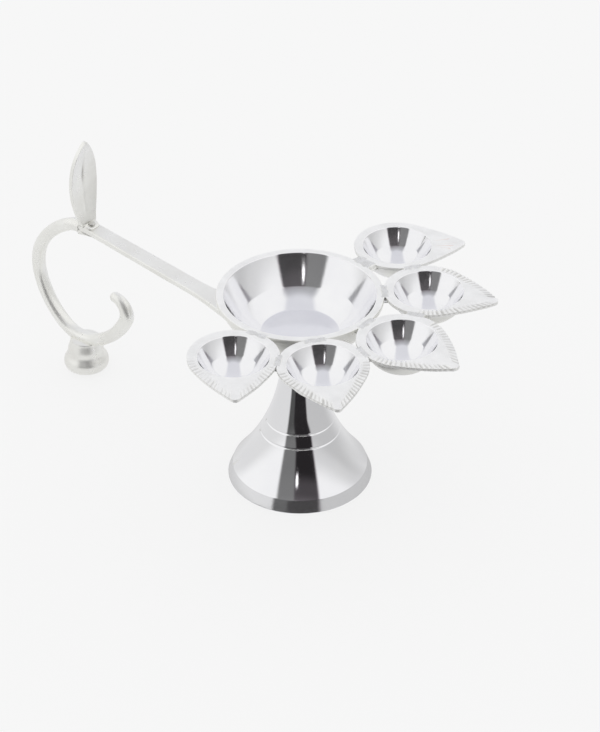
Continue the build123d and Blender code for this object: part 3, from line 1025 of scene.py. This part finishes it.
def handle_curl():
    """Curl of hammered bar with a rounded tail, and the half-round tongue under the strap's end."""
    line = curl_points()
    rings = [tongue_section(TONGUE_L, -STRAP_T / 2 - TONGUE_TIP_T), tongue_section(0.0, BAR_LOW)]
    for i, (point, heading) in enumerate(line):
        share = i / (len(line) - 1)
        size = BAR_R * (BAR_MEAN + BAR_UNEVEN * swell(point.x, point.z, 1.0, 5.0))
        tail = TAIL_SWELL * exp(-((share - TAIL_SWELL_AT) / TAIL_SWELL_L) ** 2)
        tail -= TAIL_THIN * max(0.0, share - TAIL_THIN_AT) / TAIL_THIN_L
        size += BAR_R * tail
        rings.append(bar_section(point, heading, size))
    point, heading = line[-1]
    ahead = Vector((cos(heading), 0, sin(heading)))
    for k in range(1, TAIL_STEPS + 1):
        t = pi / 2 * k / TAIL_STEPS
        rings.append(bar_section(point + ahead * size * sin(t), heading, max(TAIL_LEAST_R, size * cos(t))))
    add_piece(skin("curl", rings), "handle_curl", "lamp_top", "matte_silver", SATIN)


def blade_section(half, z):
    """Closed section of the thumb leaf at one height: dished front, thick rounded edges and back."""
    bow_back = BLADE_BOW * (1 - (2 * z / BLADE_H - 1) ** 2) if z > 0 else 0.0
    root = max(0.0, 1 - max(0.0, z) / ROOT_H) ** 2
    front = BLADE_DISH_R + bow_back - ROOT_FRONT * root
    back = BLADE_DISH_R + bow_back + BLADE_T + ROOT_BACK * root
    section = []
    for k in range(BLADE_ACROSS + 1):
        y = half * (-1 + 2 * k / BLADE_ACROSS)
        crease = CREASE_CUT * exp(-((y / CREASE_W) ** 2)) * min(1.0, max(0.0, z) / CREASE_FADE)
        dent = DENT * swell(y, z, 4.0, DENT_LUMP)
        section.append(Vector((BLADE_DISH_R - sqrt((front + crease + dent) ** 2 - y * y), y)))
    for k in range(BLADE_ACROSS + 1):
        y = half * (1 - 2 * k / BLADE_ACROSS)
        section.append(Vector((BLADE_DISH_R - sqrt(back**2 - y * y), y)))
    radii = [0.0] * len(section)
    for corner in (0, BLADE_ACROSS, BLADE_ACROSS + 1, 2 * BLADE_ACROSS + 1):
        radii[corner] = BLADE_SOFT
    return soften(section, radii)


def leaf_pad():
    """Pad of the thumb leaf over the strap's end, rounded at its nose and lower at its heel."""
    plates = []
    for i in range(PAD_STEPS + 1):
        x = LEAF_PAD_L * i / PAD_STEPS
        share = x / LEAF_PAD_L
        heel = max(0.0, 1 - x / PAD_HEEL_L) ** 2
        nose = sqrt(1 - max(0.0, (share - PAD_NOSE_AT) / PAD_NOSE_L) ** 2)
        half = STRAP_END_W / 2 * nose - PAD_HEEL_NARROW * heel
        low, high = STRAP_T / 2, PAD_TOP - PAD_NOSE_DROP * share**3 - PAD_HEEL_DROP * heel
        corners = [Vector((half, low)), Vector((half, high)), Vector((-half, high)), Vector((-half, low))]
        section = soften(corners, [PAD_SEAT_SOFT, PAD_SOFT, PAD_SOFT, PAD_SEAT_SOFT])
        plates.append([END @ Vector((x, y, z)) for y, z in section])
    return skin("pad", plates)


def thumb_leaf():
    """Leaf dished like a spoon with a creased middle, on its pad over the strap's end."""
    base = BLADE_BASE_W / 2
    pull = (4 * BLADE_W - base) / 6
    edge = bezier(((base, -BLADE_ROOT), (pull, BLADE_LOW), (pull, BLADE_HIGH), (0.0, BLADE_H)), BLADE_STEPS)
    foot = END @ Vector((BLADE_SET, 0, PAD_TOP))
    upright = Matrix.Translation(foot) @ Matrix.Rotation(BLADE_LEAN, 4, "Y")
    rings = []
    tarnish = []
    for half, z in edge[:-1]:
        section = blade_section(max(half, BLADE_LEAST_HALF), z)
        rings.append([upright @ Vector((x, y, z)) for x, y in section])
        for _, y in section:
            streak = exp(-((y / STAIN_W) ** 2)) * exp(-(((z - STAIN_Z) / STAIN_L) ** 2))
            tarnish.append(STAIN_MOST * streak)
    blade = skin("blade", rings)
    pad = leaf_pad()
    tarnish += [0.0] * len(pad.vertices)
    mesh = merge("thumb_leaf_blade", [blade, pad])
    paint(mesh, "tarnish_and_shade", tarnish)
    add_piece(mesh, "thumb_leaf", "lamp_top", "matte_silver", SATIN)


def leaf_rivet():
    """Domed rivet head on the pad, painted dark all over as painted shade, and its shank filed flush below.
    """
    head_z = PAD_TOP + RIVET_HEAD_H
    tail_z = BAR_LOW - (BAR_LOW + STRAP_T / 2 + TONGUE_TIP_T) * RIVET_X / TONGUE_L
    turns = [pi / 2 * k / RIVET_DOME_STEPS for k in range(1, RIVET_DOME_STEPS + 1)]
    dome = [(RIVET_HEAD_R * sin(turn), PAD_TOP + RIVET_HEAD_H * cos(turn)) for turn in turns]
    shank = [(RIVET_R, PAD_TOP - RIVET_SUNK), (RIVET_R, tail_z), (AWAY, tail_z)]
    seat = END @ Matrix.Translation((RIVET_X, 0, 0))
    rings = lathe([(AWAY, head_z), *dome, *shank], RIVET_STEPS)
    mesh = skin("rivet", [[seat @ point for point in ring] for ring in rings])
    # The whole rivet is painted dark: painted shade for the dark spot where it sits
    paint(mesh, "tarnish_and_shade", [RIVET_SHADE] * len(mesh.vertices))
    add_piece(mesh, "leaf_rivet", "lamp_top", "polished_silver", SATIN)


def rest_knob():
    """Mushroom knob under the curl."""
    axis = (knob_low.x + knob_high.x) / 2
    radius = (knob_high.x - knob_low.x) / 2
    base = knob_low.z
    bar_z = min(point.z for point, _ in curl_points())
    height = bar_z - BAR_R - base
    belly_z = base + KNOB_BELLY * height
    neck_z = base + KNOB_NECK * height
    sole = (KNOB_SOLE_R, base)
    belly = (radius, belly_z)
    neck = (KNOB_NECK_R, neck_z)
    top = (KNOB_TOP_R, bar_z)
    lower = bezier((sole, (radius * KNOB_SOLE_PULL, base), (radius, base + KNOB_BELLY_DOWN), belly), 20)
    below_neck = (KNOB_NECK_R, neck_z - KNOB_NECK_DOWN)
    upper = bezier((belly, (radius, belly_z + KNOB_BELLY_UP), below_neck, neck), 20)
    above_neck = (KNOB_NECK_R, neck_z + KNOB_NECK_UP)
    flare_up = bezier((neck, above_neck, (KNOB_TOP_R, bar_z - KNOB_NECK_UP), top), 8)
    line = [Vector((AWAY, base)), *lower, *upper[1:], *flare_up[1:], Vector((AWAY, bar_z))]
    rings = []
    for ring in lathe(line, KNOB_STEPS):
        rings.append([point + Vector((axis, 0, 0)) for point in ring])
    add_piece(skin("knob", rings), "rest_knob", "lamp_top", "matte_silver", SATIN)


central_bowl()
trumpet_foot()
foot_stud()
foot_washer()
for number in range(CUP_COUNT):
    leaf_cup(number)
solder()
handle_strap()
handle_curl()
thumb_leaf()
leaf_rivet()
rest_knob()


# Floor, surroundings and camera

def floor():
    """Pale floor that stays bright, with a faint shadow under the lamp."""
    ways = ((-1, -1), (1, -1), (1, 1), (-1, 1))
    corners = [Vector((x, y, 0)) * FLOOR_REACH * MM for x, y in ways]
    mesh = bpy.data.meshes.new("floor")
    mesh.from_pydata(corners, [], [(0, 1, 2, 3)])
    material, _, shader = blank("pale_floor")
    shader.inputs["Base Color"].default_value = (FLOOR_GREY, FLOOR_GREY, FLOOR_GREY, 1.0)
    shader.inputs["Roughness"].default_value = 1.0
    shader.inputs["Specular IOR Level"].default_value = 0.0
    shader.inputs["Emission Color"].default_value = (1.0, 1.0, 1.0, 1.0)
    shader.inputs["Emission Strength"].default_value = FLOOR_GLOW
    mesh.materials.append(material)
    plane = add_object(mesh)


def climb(rise, base, *ramps):
    """Value that starts at base and gains by each ramp between its two rises."""
    for gain, low, high in ramps:
        base += gain * ease(rise, low, high)
    return base


def band(value, first, full, fade, last):
    """Share from 0 to 1 that is full between full and fade."""
    return ease(value, first, full) * (1 - ease(value, fade, last))


def tent_light(turn, rise):
    """Colour of the light tent by the angle round it from its open front, and the rise."""
    side = climb(rise, *LEFT_WALL)
    side += (climb(rise, *RIGHT_WALL) - side) * ease(turn, *SIDE_TURNS)
    wall = side + (climb(rise, *BACK_WALL) - side) * ease(abs(turn), *BACK_TURNS)
    high = ease(rise, *HIGH_RISES)
    soft = climb(rise, *FRONT_SOFT)
    left = climb(rise, *FRONT_LEFT)
    right = climb(rise, *FRONT_RIGHT)
    front = band(turn, left - soft, left + soft, right - soft, right + soft)
    split = climb(rise, *FRONT_SPLIT)
    black = ease(turn, split, split + SPLIT_SOFT)
    gloom = climb(rise, *GREY_FRONT)
    gloom += (climb(rise, *BLACK_FRONT) - gloom) * black
    light = wall + (gloom - wall) * front
    across = abs(sin(radians(turn))) * cos(radians(rise))
    strip = (1 - ease(across, *STRIP_SHARES)) * max(ease(rise, *STRIP_RISES), ease(abs(turn), *STRIP_TURNS))
    light += (climb(rise, *OVERHEAD) - light) * strip
    window = band(turn, *WINDOW_TURNS) * band(rise, *WINDOW_RISES)
    light += (WINDOW - light) * window
    warm = front * (1 - high) * (1 - window) * black
    cool = max(strip, high * front)
    return tuple(light * (1 + w * warm + c * cool) for w, c in zip(WARM_TINT, COOL_TINT))


def tent_floor(turn, reach):
    """Colour of the tent's floor by the same angle and the distance from the lamp, with a painted shadow of
    the lamp close under it.
    """
    away = ease(reach, *SHADOW_REACHES)
    return tuple(SHADOW_UNDER_LAMP + (level - SHADOW_UNDER_LAMP) * away for level in tent_light(turn, 0))


def tent():
    """Light tent that is seen only in polished metal: white walls, an open dark front and a small window."""
    facing = atan2(CAMERA_PLACE.y, CAMERA_PLACE.x)
    rows = []
    for k in reversed(range(TENT_ROWS + 1)):
        rise = 90 * k / TENT_ROWS
        rows.append((TENT_R * max(TENT_TOP_SHARE, cos(radians(rise))), TENT_R * sin(radians(rise)), rise))
    rows += [(reach, TENT_FLOOR_Z, None) for reach in TENT_FLOOR_REACHES]
    points = []
    colours = []
    for reach, z, rise in rows:
        for k in range(TENT_COLUMNS + 1):
            turn = -180 + 360 * k / TENT_COLUMNS
            way = facing + radians(turn)
            points.append(Vector((reach * cos(way), reach * sin(way), z)) * MM)
            light = tent_floor(turn, reach) if rise is None else tent_light(turn, rise)
            colours += [*light, 1.0]
    faces = []
    for i in range(len(rows) - 1):
        for k in range(TENT_COLUMNS):
            a = i * (TENT_COLUMNS + 1) + k
            faces.append((a, a + 1, a + TENT_COLUMNS + 2, a + TENT_COLUMNS + 1))
    mesh = bpy.data.meshes.new("light_tent")
    mesh.from_pydata(points, [], faces)
    layer = mesh.attributes.new("light", "FLOAT_COLOR", "POINT")
    layer.data.foreach_set("color", colours)
    material, tree, shader = blank("tent_glow")
    tree.nodes.remove(shader)
    glow = tree.nodes.new("ShaderNodeEmission")
    tree.links.new(painted(tree, "light", "Color"), glow.inputs["Color"])
    tree.links.new(glow.outputs["Emission"], tree.nodes["Material Output"].inputs["Surface"])
    mesh.materials.append(material)
    shell = add_object(mesh)
    shell.visible_camera = False
    shell.visible_diffuse = False
    shell.visible_shadow = False
    shell.visible_transmission = False


def surroundings():
    """Even white light for the floor."""
    world = bpy.data.worlds.new("tent")
    world.use_nodes = True
    background = world.node_tree.nodes["Background"]
    background.inputs["Color"].default_value = (1.0, 1.0, 1.0, 1.0)
    background.inputs["Strength"].default_value = 1.0
    bpy.context.scene.world = world


def camera():
    """Camera where the photograph was taken from."""
    data = bpy.data.cameras.new("camera")
    data.lens = CAMERA_LENS
    data.sensor_width = CAMERA_SENSOR
    data.clip_start, data.clip_end = CAMERA_CLIP
    view = bpy.data.objects.new("camera", data)
    view.location = CAMERA_PLACE * MM
    view.rotation_euler = (CAMERA_AIM - CAMERA_PLACE).to_track_quat("-Z", "Y").to_euler()
    bpy.context.scene.collection.objects.link(view)
    bpy.context.scene.camera = view


floor()
tent()
surroundings()
camera()
bpy.context.scene.view_settings.view_transform = "Standard"
